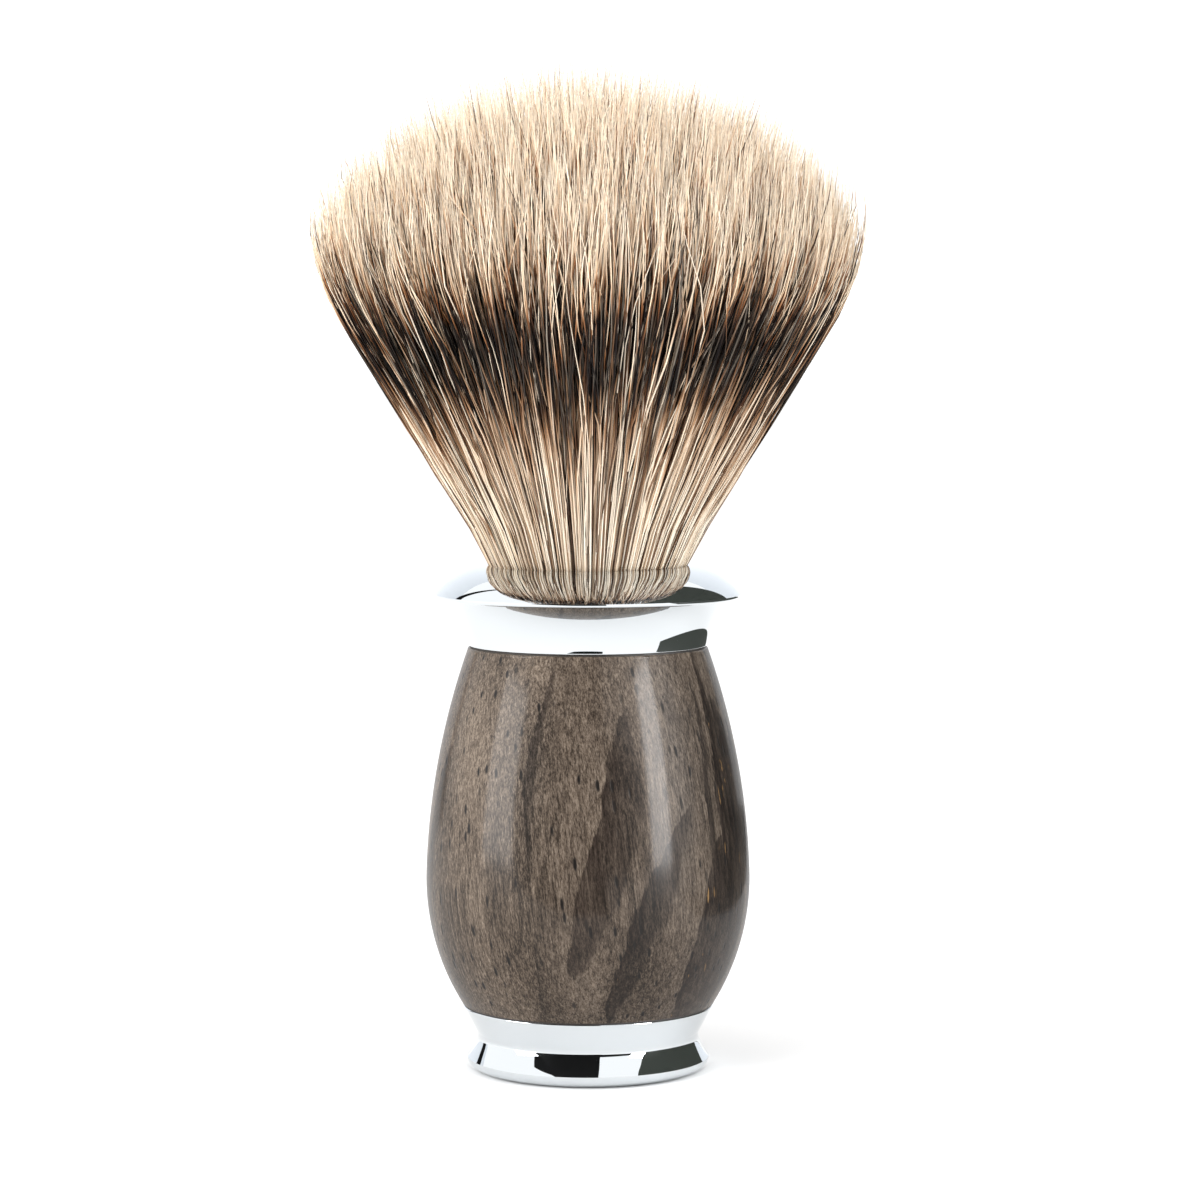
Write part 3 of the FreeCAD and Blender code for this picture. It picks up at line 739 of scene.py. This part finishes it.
def hair_mesh(name, paths, attributes, map_along, widths, kinds):
    """One mesh of thin tapering tubes, each from its root ring to a single tip vertex."""
    count, rings = paths.shape[:2]
    tangent = np.gradient(paths, axis=1)
    tangent /= np.linalg.norm(tangent, axis=2)[..., None]
    across = np.cross(tangent, np.array([0.0, 0.0, 1.0]) + 1e-3)
    across /= np.linalg.norm(across, axis=2)[..., None]
    other = np.cross(tangent, across)
    turns = np.arange(HAIR_SIDES) * 2 * math.pi / HAIR_SIDES
    reach = widths[:, None] * RING_WIDTHS[None, : rings - 1]
    body = paths[:, :-1, None] + reach[..., None, None] * (
        np.cos(turns)[:, None] * across[:, :-1, None] + np.sin(turns)[:, None] * other[:, :-1, None]
    )
    tube = (rings - 1) * HAIR_SIDES
    vertices = np.concatenate([body.reshape(count, tube, 3), paths[:, -1:]], 1).reshape(-1, 3) * MM

    side = np.arange(HAIR_SIDES)
    after = (side + 1) % HAIR_SIDES
    ring = np.arange(rings - 2)[:, None] * HAIR_SIDES
    above = ring + HAIR_SIDES
    quads = np.stack([ring + side, ring + after, above + after, above + side], 2).reshape(-1, 4)
    last = (rings - 2) * HAIR_SIDES
    tip_faces = np.stack([last + side, last + after, np.full(HAIR_SIDES, tube)], 1)
    one_hair = np.concatenate([quads.ravel(), tip_faces.ravel(), side[::-1]])
    loops = (np.arange(count)[:, None] * (tube + 1) + one_hair).ravel()
    one_size = np.concatenate([np.full(len(quads), 4), np.full(HAIR_SIDES, 3), [HAIR_SIDES]])
    sizes = np.tile(one_size, count)
    starts = np.concatenate([[0], np.cumsum(sizes)[:-1]])

    mesh = bpy.data.meshes.new(name)
    mesh.vertices.add(len(vertices))
    mesh.vertices.foreach_set("co", vertices.astype(np.float32).ravel())
    mesh.loops.add(len(loops))
    mesh.loops.foreach_set("vertex_index", loops.astype(np.int32))
    mesh.polygons.add(len(sizes))
    mesh.polygons.foreach_set("loop_start", starts.astype(np.int32))
    mesh.update(calc_edges=True)
    mesh.polygons.foreach_set("use_smooth", np.ones(len(sizes), bool))
    for key, values in attributes.items():
        spread = np.concatenate([np.repeat(values[:, :-1], HAIR_SIDES, 1), values[:, -1:]], 1)
        attribute = mesh.attributes.new(key, "FLOAT", "POINT")
        attribute.data.foreach_set("value", spread.astype(np.float32).ravel())

    # hairs of one kind share a row of the map, with the distance to the tip along it
    low = np.tile([0.15, 0.85, 0.85, 0.15], len(quads))
    rise = np.concatenate([low, np.tile([0.15, 0.85, 0.5], HAIR_SIDES), [0.15, 0.85, 0.5]])
    steps = np.concatenate([np.repeat(np.arange(rings - 1), HAIR_SIDES), [rings - 1]])
    row = (kinds[:, None] + rise) / KINDS
    column = map_along[:, steps[one_hair]]
    layer = mesh.uv_layers.new(name="OFBake")
    layer.uv.foreach_set("vector", np.stack([column, row], 2).astype(np.float32).ravel())
    piece = bpy.data.objects.new(name, mesh)
    collection.objects.link(piece)
    return piece


def make_hair():
    """Tufts of hairs, each hair of one of the kinds that differ in darkness, partly their own tone and
    partly painted shade between hairs, and in where their band lies.
    """
    rng = np.random.default_rng(SEED)
    paths, turn = hair_paths(rng)
    # the length of hair left from each ring to the tip
    steps = np.linalg.norm(np.diff(paths, axis=1), axis=2)
    length = np.concatenate([np.cumsum(steps[:, ::-1], 1)[:, ::-1], np.zeros((HAIRS, 1))], 1)

    kind_rng = np.random.default_rng(SEED + 1)
    shift = kind_rng.normal(0, BAND_SHIFT, KINDS)
    early = kind_rng.random(KINDS) < EARLY_SHARE
    shift[early] += kind_rng.uniform(2.0, 8.0, early.sum())
    stretch = kind_rng.normal(1.0, 0.05, KINDS)
    strength = np.clip(kind_rng.normal(0.95, 0.1, KINDS), 0, 1)
    strength[kind_rng.random(KINDS) < PLAIN_SHARE] = 0.0
    # a darkness for each kind: partly the hair's own tone, partly painted shade between hairs
    tint_and_gap_shade = kind_rng.random(KINDS)

    kinds = rng.integers(0, KINDS, HAIRS)
    to_tip = np.maximum(length * stretch[kinds, None] + shift[kinds, None], 0)
    even = np.ones((1, len(RING_SHARES)))
    widths = HAIR_RADIUS_MM * rng.uniform(0.7, 1.3, HAIRS)
    tuft = (turn / (2 * math.pi) * TUFTS).astype(int)
    material = hair_material()
    for number in range(TUFTS):
        chosen = tuft == number
        kind = kinds[chosen]
        fields = {
            "to_tip": to_tip[chosen],
            "shade": tint_and_gap_shade[kind, None] * even,
            "banding": strength[kind, None] * even,
        }
        map_along = np.minimum(length[chosen] / HAIR_REACH_MM, 1)
        name = f"hair_tuft_{number + 1}"
        piece = hair_mesh(name, paths[chosen], fields, map_along, widths[chosen], kind)
        piece.data.materials.append(material)
        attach(piece, "knot")
        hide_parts("hair_fan")


# ---------------------------------------------------------------- stage and light


def stage_material(name, colour):
    nodes = Nodes(name)
    nodes.set(Base_Color=(*colour, 1), Roughness=0.9, Specular_IOR_Level=0.1)
    return nodes.material


FLOOR_RADIUS = 5
FLOOR_SIDES = 96


def make_floor():
    floor_mesh = bpy.data.meshes.new("floor")
    turns = [2 * math.pi * step / FLOOR_SIDES for step in range(FLOOR_SIDES)]
    rim = [(FLOOR_RADIUS * math.cos(t), FLOOR_RADIUS * math.sin(t), 0) for t in turns]
    floor_mesh.from_pydata(rim, [], [tuple(range(FLOOR_SIDES))])
    floor_mesh.materials.append(stage_material("pale_floor", (0.74, 0.74, 0.74)))
    floor = bpy.data.objects.new("floor", floor_mesh)
    collection.objects.link(floor)


def bearing(azimuth, elevation, distance, aim_height):
    """A point at an azimuth from the front, + to the right, and an elevation over the aim height."""
    a = math.radians(azimuth)
    e = math.radians(elevation)
    level = distance * math.cos(e)
    return (level * math.sin(a), -level * math.cos(a), aim_height + distance * math.sin(e))


def softbox(name, azimuth, elevation, distance, width, height, power, gloss, aim_height=0.03):
    """A soft lamp aimed at the brush: it only shows in glossy surfaces, or only lights the matt ones."""
    data = bpy.data.lights.new(name, "AREA")
    data.shape = "RECTANGLE"
    data.size = width
    data.size_y = height
    data.energy = power
    light = bpy.data.objects.new(name, data)
    light.location = bearing(azimuth, elevation, distance, aim_height)
    light.visible_glossy = gloss
    light.visible_diffuse = not gloss
    collection.objects.link(light)
    way = Vector((0, 0, aim_height)) - light.location
    light.rotation_euler = way.to_track_quat("-Z", "Y").to_euler()


def flag(name, corners, material):
    """A card that only reflections see, as the gaps between the panels of a light tent."""
    mesh = bpy.data.meshes.new(name)
    mesh.from_pydata(corners, [], [tuple(range(len(corners)))])
    mesh.materials.append(material)
    card = bpy.data.objects.new(name, mesh)
    collection.objects.link(card)
    card.visible_camera = False
    card.visible_diffuse = False
    card.visible_shadow = False
    card.visible_transmission = False


def make_flags():
    black = stage_material("black_card", (0.004, 0.004, 0.004))
    grey = stage_material("grey_card", (0.036, 0.040, 0.034))
    pale = stage_material("pale_card", (0.76, 0.79, 0.83))
    # cards that lie down, just clear of the floor
    skim = 0.0004
    corners = [(-0.019, -0.083, skim), (0.021, -0.083, skim), (0.110, -0.5, skim), (-0.69, -0.5, skim)]
    flag("front_floor", corners, black)
    corners = [(0.072, -0.020, skim), (0.35, -0.20, skim), (0.35, 0.45, skim), (0.10, 0.28, skim)]
    flag("right_floor", corners, grey)
    # cards that stand or lean
    corners = [(-0.69, -0.5, 0), (0.110, -0.5, 0), (0.130, -0.5, 1.0), (-1.02, -0.5, 1.0)]
    flag("front_wall", corners, black)
    corners = [(0.110, -0.5, 0), (0.50, -0.5, 0), (0.50, -0.5, 0.20), (0.110, -0.5, 0.24)]
    flag("front_low", corners, black)
    corners = [(0.35, -0.20, 0), (0.35, 0.45, 0), (0.35, 0.45, 0.45), (0.35, -0.19, 0.40)]
    flag("right_wall", corners, grey)
    corners = [(0.35, -0.19, 0.40), (0.35, 0.45, 0.45), (0.30, 0.40, 0.72), (0.30, -0.10, 0.72)]
    flag("right_roof", corners, grey)
    corners = [(-1.6, 1.2, 0), (1.6, 1.2, 0), (1.6, 1.2, 1.1), (-1.6, 1.2, 1.1)]
    flag("back_wall", corners, pale)
    corners = [(-0.388, 0.318, 0), (-0.343, 0.366, 0), (-0.362, 0.346, 0.8), (-0.369, 0.338, 0.8)]
    flag("left_seam", corners, black)


def make_light():
    world = bpy.data.worlds.new("studio")
    world.use_nodes = True
    background = world.node_tree.nodes["Background"]
    background.inputs["Color"].default_value = (1, 1, 1, 1)
    background.inputs["Strength"].default_value = 1.4
    scene.world = world
    softbox("key_left", -45, 24, 0.9, 0.5, 0.5, 6.4, False, aim_height=0.06)
    softbox("fill_right", 40, 30, 0.9, 0.4, 0.4, 2.0, False, aim_height=0.07)
    softbox("top", 0, 88, 0.9, 0.5, 0.5, 1.8, False, aim_height=0.06)
    softbox("sheen_left", -60, 7, 0.9, 0.66, 0.56, 9.8, True)
    softbox("sheen_right", 62, 12, 0.8, 0.46, 0.50, 13.0, True)
    make_flags()
    scene.view_settings.view_transform = "Standard"


dress_cad_nodes()
make_turned_pieces()
make_hair()
make_floor()
make_light()
